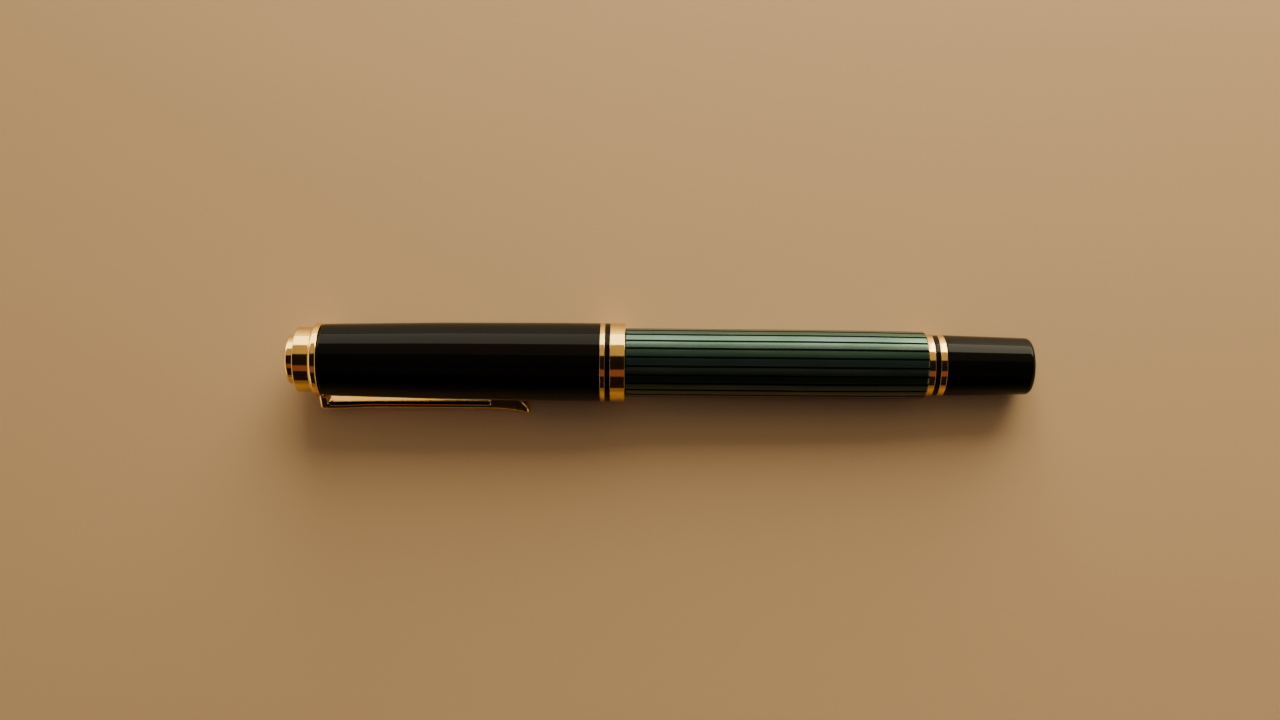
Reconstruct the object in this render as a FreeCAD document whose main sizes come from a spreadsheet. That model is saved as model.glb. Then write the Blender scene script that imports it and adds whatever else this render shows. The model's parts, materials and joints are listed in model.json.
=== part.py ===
import FreeCAD, Part
import math
import os
import re
import types

import Sketcher
from FreeCAD import Placement, Rotation, Vector

# A capped piston-filling fountain pen, lying with its axis along X.
#
# The cap's crown points to -X and the filler knob to +X.  The origin is on the pen's axis, in the plane
# where the striped barrel comes out of the cap.  The clip points down and to -Y, so that the pen lies on
# its cap band and the tip of its clip.  All lengths are in millimetres and are kept in the sheet "dims".
#
# Threads are right-handed.  The filler is a differential screw: the spindle backs out of its housing on
# a fine thread, while its coarse nut pushes the piston rod, which flats keep from turning, to the nib.

DIMENSIONS = {
    # clearances
    "mouth_gap": 0.1,  # cap lip to barrel sleeve, and knob to end ring
    "slip": 0.02,  # radial room of parts that are pushed together
    "run": 0.04,  # radial room of parts that turn or slide in each other
    "root_sink": 0.1,  # how far a thread's base reaches into the wall it grows from
    # cap outside
    "cap_length": 57.85,
    "cap_lip_r": 7.52,
    "cap_top_r": 6.9,
    "cap_straight": 12.0,  # length of the cylinder next to the lip
    "cap_edge": 0.5,
    "band_width": 2.75,
    "band_r": 7.57,
    "band_seat_r": 6.95,
    "stripe_width": 1.0,  # black stripe between the two gold rings
    "hoop_width": 0.9,
    "ring_edge": 0.06,
    # cap inside
    "cap_bore_r": 6.2,
    "cap_mouth_r": 6.3,
    "cap_mouth_depth": 3.0,
    "cap_end_wall": 1.2,
    "liner_front": -24.8,
    "liner_bore_r": 5.35,
    "liner_end_wall": 1.5,
    "liner_chamfer": 0.4,
    # crown and its screw
    "ring_width": 1.55,
    "ring_rim_r": 7.05,
    "ring_rim_edge": 0.3,
    "ring_neck_r": 6.35,
    "ring_flare": 0.65,
    "crown_width": 3.1,
    "crown_r": 6.25,
    "crown_edge": 0.25,
    "recess_depth": 1.0,
    "bezel_width": 1.9,
    "bezel_r": 4.7,
    "bezel_edge": 0.7,
    "bezel_lip": 0.15,
    "bezel_foot_r": 4.25,
    "disc_r": 3.8,
    "disc_sink": 0.45,
    "disc_rise": 0.2,
    "screw_r": 2.0,
    "screw_head_r": 3.0,
    "screw_head": 0.8,
    "screw_tip": 0.5,
    "screw_slot": 0.5,
    "screw_slot_depth": 0.4,
    "nut_r": 3.4,
    "nut_width": 1.2,
    # clip, drawn pointing to +Z and then turned about the pen's axis by clip_turn degrees
    "clip_turn": 124.5,
    "clip_seat_r": 7.15,
    "clip_seat_edge": 0.5,
    "clip_play": 0.02,
    "clip_root_width": 3.9,
    "clip_root_length": 2.3,
    "clip_neck_width": 2.8,
    "clip_neck_length": 12.0,
    "clip_waist_width": 2.7,
    "clip_tip_width": 2.2,
    "clip_camber": 0.33,
    "clip_shoulder": 0.8,
    "clip_hollow": 1.0,
    "clip_outer_r": 10.7,
    "clip_inner_r": 9.2,
    "clip_bend_x": -27.0,
    "clip_tip_x": -18.7,
    "clip_tip_outer_r": 12.0,
    "clip_tip_inner_r": 11.38,
    "clip_tip_edge": 0.33,
    "clip_foot_x": -26.2,
    "clip_foot_gap": 0.05,
    "clip_foot_length": 4.4,
    "clip_foot_edge": 0.6,
    "clip_foot_nose": 5.5,
    # barrel
    "sleeve_length": 57.2,
    "sleeve_r": 6.6,
    "sleeve_straight": 36.0,
    "sleeve_end_r": 6.42,
    "sleeve_bore_r": 5.77,
    "sleeve_edge": 0.2,
    "tube_r": 5.75,
    "tube_bore_r": 4.6,
    "tube_chamfer": 0.3,
    "window_length": 5.3,
    "window_r": 5.95,
    # cap thread
    "cap_thread_zone": 6.0,
    "cap_thread_pitch": 1.5,
    "cap_thread_start": 0.8,
    "cap_thread_height": 4.2,
    "cap_thread_crest_r": 6.12,
    "cap_thread_base": 0.9,
    "cap_thread_top": 0.4,
    "cap_groove_height": 8.0,
    "cap_groove_r": 6.5,
    "cap_groove_play": 0.2,
    # section
    "grip_length": 15.5,
    "grip_rear_r": 5.6,
    "grip_edge": 0.2,
    "grip_waist_r": 4.92,
    "grip_hollow_r": 60.0,
    "grip_lip_r": 5.15,
    "grip_lip_width": 2.4,
    "grip_lip_hollow_r": 9.0,
    "grip_ring_width": 0.6,
    "grip_ring_edge": 0.15,
    "tenon_length": 5.8,
    "nib_bore_r": 3.6,
    "nib_bore_depth": 11.6,
    "collar_bore_r": 3.22,
    "collar_front": 0.2,
    # feed
    "feed_r": 3.2,
    "feed_seat_r": 2.73,
    "feed_nose": -41.5,
    "feed_cut": 1.0,  # how far the cuts in the feed start outside it
    "feed_seat_length": 10.5,
    "feed_seat_nose": 1.75,
    "feed_belly_length": 7.0,
    "feed_belly_nose": 1.25,
    "feed_belly_r": 14.0,
    "feed_plan_length": 11.0,
    "feed_plan_nose": 0.95,
    "feed_tail_r": 1.9,
    "feed_tail_x": -9.0,
    "feed_hole_r": 1.95,
    "fin_first_x": -39.0,
    "fin_pitch": 0.95,
    "fin_slot": 0.42,
    "fin_depth": 1.0,
    # nib: sheet thickness, then x, crest height, half width and edge drop of each cross-section
    "nib_sheet": 0.45,
    "nib_root_x": -17.2,
    "nib_root_top": 3.2,
    "nib_root_half": 3.1,
    "nib_root_drop": 2.4,
    "nib_shoulder_x": -31.4,
    "nib_shoulder_top": 3.2,
    "nib_shoulder_half": 4.15,
    "nib_shoulder_drop": 3.0,
    "nib_vent_x": -35.8,
    "nib_vent_top": 3.08,
    "nib_vent_half": 3.35,
    "nib_vent_drop": 1.62,
    "nib_blade_x": -41.8,
    "nib_blade_top": 2.6,
    "nib_blade_half": 1.95,
    "nib_blade_drop": 0.57,
    "nib_neck_x": -46.8,
    "nib_neck_top": 1.75,
    "nib_neck_half": 0.9,
    "nib_neck_drop": 0.17,
    "nib_end_x": -49.4,
    "nib_end_top": 1.15,
    "nib_end_half": 0.36,
    "nib_end_drop": 0.05,
    "nib_point_r": 0.42,
    "breather_x": -35.2,
    "breather_r": 0.65,
    "slit_width": 0.1,
    # rings at the barrel's end
    "end_ring_width": 1.2,
    "end_spacer_width": 1.0,
    "end_front_r": 5.95,
    "end_spacer_r": 5.8,
    "end_rear_r": 5.88,
    "end_seat_r": 4.9,
    # filler housing
    "housing_front": 23.5,
    "guide_width": 3.0,
    "guide_overlap": 0.2,
    "housing_bore_r": 4.05,
    "housing_thread_x": 49.0,
    # fine thread of the spindle in the housing
    "fine_pitch": 1.5,
    "fine_core_r": 3.35,
    "fine_crest_r": 3.85,
    "fine_base": 0.9,
    "fine_top": 0.4,
    # coarse thread of the rod in the spindle, whose three starts are coarse_pitch apart
    "coarse_pitch": 2.0,
    "coarse_core_r": 1.95,
    "coarse_crest_r": 2.35,
    "coarse_base": 1.1,
    "coarse_top": 0.6,
    "thread_play": 0.1,
    # spindle, stop collar and knob
    "spindle_front": 40.0,
    "stop_seat_x": 40.8,
    "stop_seat_r": 3.0,
    "stop_width": 1.4,
    "stop_r": 3.95,
    "coarse_nut_length": 5.0,
    "spindle_bore_r": 2.6,
    "spindle_tail_r": 3.1,
    "spindle_tail_x": 68.0,
    "knob_length": 17.0,
    "knob_front_r": 5.84,
    "knob_front_edge": 0.15,
    "knob_rear_r": 5.43,
    "knob_corner": 1.1,
    "knob_rise": 0.22,
    "knob_bore_end": 73.4,
    # piston
    "rod_tail_x": 72.5,
    "rod_flat": 1.7,
    "rod_nose_x": 16.7,
    "rod_nose_r": 1.5,
    "flange_r": 3.0,
    "flange_width": 0.8,
    "seal_front": 16.0,
    "seal_length": 5.5,
    "seal_waist_r": 4.1,
    "seal_lip": 1.0,
    "seal_slope": 0.5,
}

CAP_THREAD_STARTS = 3
COARSE_THREAD_STARTS = 3
FIN_COUNT = 11
FIN_ARC = 190  # degrees of the feed's underside that its fins wrap
NIB_SEAT_ARC = 176  # degrees of the feed's top that the nib covers

doc = FreeCAD.newDocument("fountain_pen")
sheet = doc.addObject("Spreadsheet::Sheet", "dims")
dims = types.SimpleNamespace()


class Size:
    """A length that remembers the formula of sheet names it was worked out from."""

    def __init__(self, value, formula):
        self.value = value
        self.formula = formula

    def __add__(self, other):
        return Size(self.value + value_of(other), f"{self.formula} + {formula_of(other)}")

    def __sub__(self, other):
        return Size(self.value - value_of(other), f"{self.formula} - ({formula_of(other)})")

    def __mul__(self, other):
        return Size(self.value * value_of(other), f"({self.formula}) * ({formula_of(other)})")

    def __truediv__(self, other):
        return Size(self.value / value_of(other), f"({self.formula}) / ({formula_of(other)})")

    def __neg__(self):
        return self * -1


def value_of(size):
    return size.value if isinstance(size, Size) else size


def formula_of(size):
    return size.formula if isinstance(size, Size) else str(size)


def bound(size):
    """The size's formula as another object's expression."""
    return re.sub(r"[a-z][a-z_]*", lambda word: "dims." + word.group(), formula_of(size))


def add_row(name, content, value):
    row = len(vars(dims)) + 1
    sheet.set(f"A{row}", name)
    sheet.set(f"B{row}", content)
    sheet.setAlias(f"B{row}", name)
    setattr(dims, name, Size(value, name))


def derive(name, size):
    """Adds a size to the sheet as a formula of the sizes above it."""
    add_row(name, "=" + size.formula, size.value)


def fill_sheet():
    for name, value in DIMENSIONS.items():
        add_row(name, str(value), value)
    derive("lip_x", -dims.mouth_gap)
    derive("cap_top_x", dims.lip_x - dims.cap_length)
    derive("band_x", dims.lip_x - dims.band_width)
    derive("stripe_x", dims.band_x - dims.stripe_width)
    derive("hoop_x", dims.stripe_x - dims.hoop_width)
    derive("liner_back", dims.cap_top_x + dims.cap_end_wall)
    derive("liner_floor", dims.liner_back + dims.liner_end_wall)
    derive("nut_x", dims.liner_floor + dims.run)
    derive("screw_end", dims.nut_x + dims.nut_width + dims.screw_tip)
    derive("ring_x", dims.cap_top_x - dims.ring_width)
    derive("crown_x", dims.ring_x - dims.crown_width)
    derive("bezel_x", dims.crown_x - dims.bezel_width)
    derive("recess_x", dims.crown_x + dims.recess_depth)
    derive("head_x", dims.recess_x + dims.screw_head)
    derive("window_x", -dims.window_length)
    derive("tube_x", dims.window_x - dims.cap_thread_zone)
    derive("grip_x", dims.tube_x - dims.grip_length)
    derive("grip_ring_x", dims.grip_x + dims.grip_ring_width)
    derive("tenon_x", dims.tube_x + dims.tenon_length)
    derive("nib_bore_x", dims.grip_x + dims.nib_bore_depth)
    derive("spacer_x", dims.sleeve_length + dims.end_ring_width)
    derive("end_rear_x", dims.spacer_x + dims.end_spacer_width)
    derive("housing_end", dims.end_rear_x + dims.end_ring_width)
    derive("knob_x", dims.housing_end + dims.mouth_gap)
    derive("knob_end", dims.knob_x + dims.knob_length)
    derive("seal_rear", dims.seal_front + dims.seal_length)
    derive("cap_thread_lead", dims.cap_thread_pitch * CAP_THREAD_STARTS)
    derive("coarse_lead", dims.coarse_pitch * COARSE_THREAD_STARTS)
    doc.recompute()


# ---------------------------------------------------------------- drawing

HOLLOW = "hollow"


def arc_radius(run, rise):
    """The radius of an arc that starts level and rises by rise over a length of run."""
    return (run * run + rise * rise) / (rise * 2)


def add_body(label):
    body = doc.addObject("PartDesign::Body", label)
    body.Label = label
    return body


def add_sketch(body, name, role="XZ_Plane", offset=None, turned=0):
    """An empty sketch on one of the body's own planes, moved along its normal or turned about its x."""
    plane = next(f for f in body.Origin.OriginFeatures if f.Role == role)
    sketch = body.newObject("Sketcher::SketchObject", name)
    sketch.AttachmentSupport = (plane, [""])
    sketch.MapMode = "FlatFace"
    sketch.AttachmentOffset = Placement(Vector(), Rotation(Vector(1, 0, 0), turned))
    if offset is not None:
        sketch.setExpression("AttachmentOffset.Base.z", bound(offset))
    return sketch


def arc_between(start, end, radius, hollow):
    """The short arc from start to end, bulging to the right of the way, or to the left if hollow."""
    chord = end - start
    half = chord.Length / 2
    side = Vector(-chord.y, chord.x, 0).normalize() * (-1 if hollow else 1)
    centre = (start + end) / 2 + side * math.sqrt(max(radius * radius - half * half, 0))
    first, last = (end, start) if hollow else (start, end)
    angles = [math.atan2(p.y - centre.y, p.x - centre.x) for p in (first, last)]
    return Part.ArcOfCircle(Part.Circle(centre, Vector(0, 0, 1), radius), *angles)


def place_point(sketch, edge, point, size, kind):
    """Ties one coordinate of an edge's end to its size."""
    value = value_of(size)
    if value == 0:
        axis = -2 if kind == "DistanceX" else -1
        sketch.addConstraint(Sketcher.Constraint("PointOnObject", edge, point, axis))
        return
    index = sketch.addConstraint(Sketcher.Constraint(kind, -1, 1, edge, point, value))
    if isinstance(size, Size):
        sketch.setExpression(f"Constraints[{index}]", bound(size))


def draw_outline(sketch, corners):
    """Draws a closed outline, counter-clockwise, and ties it to the sheet.

    A corner is (x, y), or (x, y, radius) if the edge that reaches it is an arc bulging outwards, or
    (x, y, radius, HOLLOW) if that arc bulges inwards.
    """
    points = [Vector(value_of(c[0]), value_of(c[1]), 0) for c in corners]
    for i, corner in enumerate(corners):
        if len(corner) == 2:
            edge = Part.LineSegment(points[i - 1], points[i])
        else:
            edge = arc_between(points[i - 1], points[i], value_of(corner[2]), HOLLOW in corner)
        sketch.addGeometry(edge, False)
    for i, corner in enumerate(corners):
        following = (i + 1) % len(corners)
        arrives = 1 if HOLLOW in corner else 2
        leaves = 2 if HOLLOW in corners[following] else 1
        sketch.addConstraint(Sketcher.Constraint("Coincident", i, arrives, following, leaves))
        place_point(sketch, i, arrives, corner[0], "DistanceX")
        place_point(sketch, i, arrives, corner[1], "DistanceY")
        if len(corner) > 2:
            index = sketch.addConstraint(Sketcher.Constraint("Radius", i, value_of(corner[2])))
            sketch.setExpression(f"Constraints[{index}]", bound(corner[2]))


def turned_body(label, corners):
    """A body of revolution about the pen's axis, from an outline of (x, radius) corners."""
    body = add_body(label)
    sketch = add_sketch(body, "outline")
    draw_outline(sketch, corners)
    feature = body.newObject("PartDesign::Revolution", "turned")
    feature.Profile = sketch
    feature.ReferenceAxis = (sketch, ["H_Axis"])
    feature.Angle = 360
    return body


def ring_outline(front, back, inner, outer, edge=None):
    """A plain ring's outline, with its two outer edges rounded if edge is given."""
    if edge is None:
        return [(front, inner), (back, inner), (back, outer), (front, outer)]
    return [
        (front, inner),
        (back, inner),
        (back, outer - edge),
        (back - edge, outer, edge),
        (front + edge, outer),
        (front, outer - edge, edge),
    ]


def block_outline(x0, x1, y0, y1):
    return [(x0, y0), (x1, y0), (x1, y1), (x0, y1)]


def cut_through(body, name, role, corners):
    """Pockets an outline through the whole body, both ways from one of its planes."""
    sketch = add_sketch(body, name + "_outline", role)
    draw_outline(sketch, corners)
    pocket = body.newObject("PartDesign::Pocket", name)
    pocket.Profile = sketch
    pocket.Type = "ThroughAll"
    pocket.Midplane = True
    doc.recompute()
    return pocket


def cut_groove(body, name, corners, angle):
    """Cuts an outline out of the body along an arc about the pen's axis, middled on the sketch."""
    sketch = add_sketch(body, name + "_outline")
    draw_outline(sketch, corners)
    groove = body.newObject("PartDesign::Groove", name)
    groove.Profile = sketch
    groove.ReferenceAxis = (sketch, ["H_Axis"])
    groove.Angle = angle
    groove.Midplane = True
    doc.recompute()
    return groove


def add_thread(body, name, kind, first_x, height, lead, section, starts=1):
    """Adds or cuts a thread with a trapezoid section of (base r, top r, base width, top width)."""
    base_r, top_r, base_width, top_width = section
    corners = [
        (first_x - base_width / 2, base_r),
        (first_x + base_width / 2, base_r),
        (first_x + top_width / 2, top_r),
        (first_x - top_width / 2, top_r),
    ]
    for start in range(starts):
        sketch = add_sketch(body, f"{name}_section", turned=360 * start / starts)
        draw_outline(sketch, corners)
        doc.recompute()
        helix = body.newObject(kind, f"{name}_thread")
        helix.Profile = sketch
        helix.ReferenceAxis = (sketch, ["H_Axis"])
        helix.Mode = 0
        helix.setExpression("Pitch", bound(lead))
        helix.setExpression("Height", bound(height))
        doc.recompute()


def turn_to_clip(part):
    """Turns a part that is drawn upright to the clip's direction."""
    axis_turn = Rotation(Vector(1, 0, 0), dims.clip_turn.value)
    part.Placement = Placement(Vector(), axis_turn)


# ---------------------------------------------------------------- cap


def make_cap_tube():
    straight_x = dims.lip_x - dims.cap_straight
    mouth_x = dims.lip_x - dims.cap_mouth_depth
    flank = arc_radius(straight_x - dims.cap_top_x - dims.cap_edge, dims.cap_lip_r - dims.cap_top_r)
    body = turned_body(
        "cap_tube",
        [
            (dims.cap_top_x, dims.screw_r),
            (dims.liner_back, dims.screw_r),
            (dims.liner_back, dims.cap_bore_r),
            (mouth_x, dims.cap_bore_r),
            (mouth_x, dims.cap_mouth_r),
            (dims.lip_x, dims.cap_mouth_r),
            (dims.lip_x, dims.band_seat_r),
            (dims.band_x, dims.band_seat_r),
            (dims.band_x, dims.cap_lip_r),
            (dims.stripe_x, dims.cap_lip_r),
            (dims.stripe_x, dims.band_seat_r),
            (dims.hoop_x, dims.band_seat_r),
            (dims.hoop_x, dims.cap_lip_r),
            (straight_x, dims.cap_lip_r),
            (dims.cap_top_x + dims.cap_edge, dims.cap_top_r, flank),
            (dims.cap_top_x, dims.cap_top_r - dims.cap_edge, dims.cap_edge),
        ],
    )
    add_thread(
        body,
        "cap",
        "PartDesign::SubtractiveHelix",
        dims.tube_x + dims.cap_thread_start - dims.cap_thread_pitch,
        dims.cap_groove_height,
        dims.cap_thread_lead,
        (
            dims.cap_bore_r - dims.root_sink,
            dims.cap_groove_r,
            dims.cap_thread_base + dims.cap_groove_play,
            dims.cap_thread_top + dims.cap_groove_play,
        ),
        CAP_THREAD_STARTS,
    )
    return body


def make_cap_band():
    outline = ring_outline(
        dims.band_x, dims.lip_x, dims.band_seat_r, dims.band_r, dims.ring_edge
    )
    return turned_body("cap_band", outline)


def make_cap_hoop():
    outline = ring_outline(
        dims.hoop_x, dims.stripe_x, dims.band_seat_r, dims.band_r, dims.ring_edge
    )
    return turned_body("cap_hoop", outline)


def make_inner_cap():
    """The liner that closes round the section, so that the nib doesn't dry."""
    outer = dims.cap_bore_r - dims.run
    bore = dims.screw_r + dims.run
    return turned_body(
        "inner_cap",
        [
            (dims.liner_back, bore),
            (dims.liner_floor, bore),
            (dims.liner_floor, dims.liner_bore_r),
            (dims.liner_front, dims.liner_bore_r),
            (dims.liner_front, outer - dims.liner_chamfer),
            (dims.liner_front - dims.liner_chamfer, outer),
            (dims.liner_back, outer),
        ],
    )


def make_clip_ring():
    """The ring clamped under the crown, with the flat seat that carries the clip."""
    flare = arc_radius(dims.ring_rim_r - dims.ring_neck_r, dims.ring_flare)
    body = turned_body(
        "clip_ring",
        [
            (dims.ring_x, dims.screw_r),
            (dims.cap_top_x, dims.screw_r),
            (dims.cap_top_x, dims.ring_rim_r - dims.ring_rim_edge),
            (dims.cap_top_x - dims.ring_rim_edge, dims.ring_rim_r, dims.ring_rim_edge),
            (dims.ring_x + dims.ring_flare, dims.ring_rim_r),
            (dims.ring_x, dims.ring_neck_r, flare),
        ],
    )
    half = dims.clip_root_width / 2
    shoulder = half - dims.clip_seat_edge
    sketch = add_sketch(body, "seat_outline", "YZ_Plane", dims.ring_x)
    draw_outline(
        sketch,
        [
            (-half, dims.screw_head_r),
            (half, dims.screw_head_r),
            (half, dims.clip_seat_r - dims.clip_seat_edge),
            (shoulder, dims.clip_seat_r),
            (-shoulder, dims.clip_seat_r),
            (-half, dims.clip_seat_r - dims.clip_seat_edge),
        ],
    )
    pad = body.newObject("PartDesign::Pad", "clip_seat")
    pad.Profile = sketch
    pad.setExpression("Length", bound(dims.ring_width))
    turn_to_clip(body)
    return body


def make_crown():
    return turned_body(
        "crown",
        [
            (dims.crown_x, dims.bezel_foot_r),
            (dims.recess_x, dims.bezel_foot_r),
            (dims.recess_x, dims.screw_head_r),
            (dims.head_x, dims.screw_head_r),
            (dims.head_x, dims.screw_r),
            (dims.ring_x, dims.screw_r),
            (dims.ring_x, dims.crown_r - dims.crown_edge),
            (dims.ring_x - dims.crown_edge, dims.crown_r, dims.crown_edge),
            (dims.crown_x + dims.crown_edge, dims.crown_r),
            (dims.crown_x, dims.crown_r - dims.crown_edge, dims.crown_edge),
        ],
    )


def make_crown_bezel():
    return turned_body(
        "crown_bezel",
        [
            (dims.bezel_x + dims.bezel_lip, dims.disc_r),
            (dims.recess_x, dims.disc_r),
            (dims.recess_x, dims.bezel_foot_r),
            (dims.crown_x, dims.bezel_foot_r),
            (dims.crown_x, dims.bezel_r),
            (dims.bezel_x + dims.bezel_edge, dims.bezel_r),
            (dims.bezel_x, dims.bezel_r - dims.bezel_edge, dims.bezel_edge),
            (dims.bezel_x, dims.disc_r + dims.bezel_lip),
        ],
    )


def make_crown_disc():
    rim_x = dims.bezel_x + dims.disc_sink
    return turned_body(
        "crown_disc",
        [
            (dims.recess_x, 0),
            (dims.recess_x, dims.disc_r),
            (rim_x, dims.disc_r),
            (rim_x - dims.disc_rise, 0, arc_radius(dims.disc_r, dims.disc_rise)),
        ],
    )


def make_crown_screw():
    """The screw that clamps crown and clip ring to the cap."""
    body = turned_body(
        "crown_screw",
        [
            (dims.recess_x, 0),
            (dims.screw_end, 0),
            (dims.screw_end, dims.screw_r - dims.liner_chamfer),
            (dims.screw_end - dims.liner_chamfer, dims.screw_r),
            (dims.head_x, dims.screw_r),
            (dims.head_x, dims.screw_head_r),
            (dims.recess_x, dims.screw_head_r),
        ],
    )
    half = dims.screw_slot / 2
    slot_floor = dims.recess_x + dims.screw_slot_depth
    slot = block_outline(dims.recess_x - dims.screw_slot_depth, slot_floor, -half, half)
    cut_through(body, "driver_slot", "XZ_Plane", slot)
    return body


def make_crown_nut():
    """The nut on the screw's end, which also keeps the liner in."""
    back = dims.nut_x + dims.nut_width
    return turned_body("crown_nut", ring_outline(dims.nut_x, back, dims.screw_r, dims.nut_r))


def make_clip_side():
    """The clip seen from the side, as wide as its root all along."""
    seat = dims.clip_seat_r + dims.clip_play
    foot_r = dims.cap_lip_r + dims.clip_foot_gap
    foot_back = dims.clip_foot_x + dims.clip_foot_length
    inner_corner = dims.clip_inner_r - dims.clip_hollow
    foot_hollow = dims.clip_hollow / 2
    bend = arc_radius(
        dims.clip_tip_x - dims.clip_bend_x, dims.clip_tip_outer_r - dims.clip_outer_r
    )
    body = add_body("clip_side")
    sketch = add_sketch(body, "outline")
    draw_outline(
        sketch,
        [
            (dims.ring_x, seat),
            (dims.cap_top_x, seat),
            (dims.cap_top_x, inner_corner),
            (dims.cap_top_x + dims.clip_hollow, dims.clip_inner_r, dims.clip_hollow, HOLLOW),
            (dims.clip_foot_x - foot_hollow, dims.clip_inner_r),
            (dims.clip_foot_x, dims.clip_inner_r - foot_hollow, foot_hollow, HOLLOW),
            (dims.clip_foot_x, foot_r + dims.clip_foot_edge),
            (dims.clip_foot_x + dims.clip_foot_edge, foot_r, dims.clip_foot_edge),
            (foot_back, foot_r),
            (dims.clip_tip_x, dims.clip_tip_inner_r, dims.clip_foot_nose),
            (dims.clip_tip_x, dims.clip_tip_outer_r, dims.clip_tip_edge),
            (dims.clip_bend_x, dims.clip_outer_r, bend, HOLLOW),
            (dims.ring_x + dims.clip_shoulder, dims.clip_outer_r),
            (dims.ring_x, dims.clip_outer_r - dims.clip_shoulder, dims.clip_shoulder),
        ],
    )
    pad = body.newObject("PartDesign::Pad", "side")
    pad.Profile = sketch
    pad.setExpression("Length", bound(dims.clip_root_width))
    pad.Midplane = True
    return body


def make_clip_camber():
    """The clip's taper and rounded back: a loft of round-topped cross-sections."""
    body = add_body("clip_camber")
    rise = dims.clip_tip_outer_r - dims.clip_outer_r
    middle_x = (dims.clip_bend_x + dims.clip_tip_x) / 2
    middle_width = (dims.clip_waist_width + dims.clip_tip_width) / 2
    stations = [
        (dims.ring_x, dims.clip_root_width, dims.clip_outer_r),
        (dims.ring_x + dims.clip_root_length, dims.clip_root_width, dims.clip_outer_r),
        (dims.ring_x + dims.clip_neck_length, dims.clip_neck_width, dims.clip_outer_r),
        (dims.clip_bend_x, dims.clip_waist_width, dims.clip_outer_r),
        (middle_x, middle_width, dims.clip_outer_r + rise / 4),
        (dims.clip_tip_x + dims.clip_tip_edge, dims.clip_tip_width, dims.clip_tip_outer_r),
    ]
    sections = []
    for x, width, top in stations:
        half = width / 2
        edge_top = top - dims.clip_camber
        sketch = add_sketch(body, "rib", "YZ_Plane", x)
        draw_outline(
            sketch,
            [
                (-half, dims.screw_head_r),
                (half, dims.screw_head_r),
                (half, edge_top),
                (-half, edge_top, arc_radius(half, dims.clip_camber)),
            ],
        )
        sections.append(sketch)
    doc.recompute()
    loft = body.newObject("PartDesign::AdditiveLoft", "camber")
    loft.Profile = sections[0]
    loft.Sections = sections[1:]
    loft.Ruled = True
    return body


def make_clip():
    clip = doc.addObject("Part::Common", "clip")
    clip.Label = "clip"
    clip.Base = make_clip_side()
    clip.Tool = make_clip_camber()
    turn_to_clip(clip)
    return clip


# ---------------------------------------------------------------- barrel


def make_barrel_sleeve():
    flank = arc_radius(
        dims.sleeve_length - dims.sleeve_edge - dims.sleeve_straight,
        dims.sleeve_r - dims.sleeve_end_r,
    )
    return turned_body(
        "barrel_sleeve",
        [
            (0, dims.sleeve_bore_r),
            (dims.sleeve_length, dims.sleeve_bore_r),
            (dims.sleeve_length, dims.sleeve_end_r - dims.sleeve_edge),
            (dims.sleeve_length - dims.sleeve_edge, dims.sleeve_end_r, dims.sleeve_edge),
            (dims.sleeve_straight, dims.sleeve_r, flank),
            (dims.sleeve_edge, dims.sleeve_r),
            (0, dims.sleeve_r - dims.sleeve_edge, dims.sleeve_edge),
        ],
    )


def make_barrel_tube():
    """The ink tube inside the sleeve, with the ink window and the cap's thread in front."""
    body = turned_body(
        "barrel_tube",
        [
            (dims.tube_x, dims.tube_bore_r),
            (dims.sleeve_length, dims.tube_bore_r),
            (dims.sleeve_length, dims.tube_r),
            (0, dims.tube_r),
            (0, dims.window_r),
            (dims.window_x, dims.window_r),
            (dims.window_x, dims.tube_r),
            (dims.tube_x + dims.tube_chamfer, dims.tube_r),
            (dims.tube_x, dims.tube_r - dims.tube_chamfer),
        ],
    )
    add_thread(
        body,
        "cap",
        "PartDesign::AdditiveHelix",
        dims.tube_x + dims.cap_thread_start,
        dims.cap_thread_height,
        dims.cap_thread_lead,
        (
            dims.tube_r - dims.root_sink,
            dims.cap_thread_crest_r,
            dims.cap_thread_base,
            dims.cap_thread_top,
        ),
        CAP_THREAD_STARTS,
    )
    return body


def make_section():
    waist_x = dims.grip_x + dims.grip_lip_width
    return turned_body(
        "section",
        [
            (dims.grip_ring_x, dims.nib_bore_r),
            (dims.nib_bore_x, dims.nib_bore_r),
            (dims.nib_bore_x, dims.feed_hole_r),
            (dims.tenon_x, dims.feed_hole_r),
            (dims.tenon_x, dims.tube_bore_r - dims.slip),
            (dims.tube_x, dims.tube_bore_r - dims.slip),
            (dims.tube_x, dims.grip_rear_r - dims.grip_edge),
            (dims.tube_x - dims.grip_edge, dims.grip_rear_r, dims.grip_edge),
            (waist_x, dims.grip_waist_r, dims.grip_hollow_r, HOLLOW),
            (dims.grip_ring_x, dims.grip_lip_r, dims.grip_lip_hollow_r, HOLLOW),
        ],
    )


def make_section_ring():
    outline = ring_outline(
        dims.grip_x, dims.grip_ring_x, dims.nib_bore_r, dims.grip_lip_r, dims.grip_ring_edge
    )
    return turned_body("section_ring", outline)


def make_nib_collar():
    front = dims.grip_x + dims.collar_front
    outer = dims.nib_bore_r - dims.slip
    return turned_body(
        "nib_collar", ring_outline(front, dims.nib_bore_x, dims.collar_bore_r, outer)
    )


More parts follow.
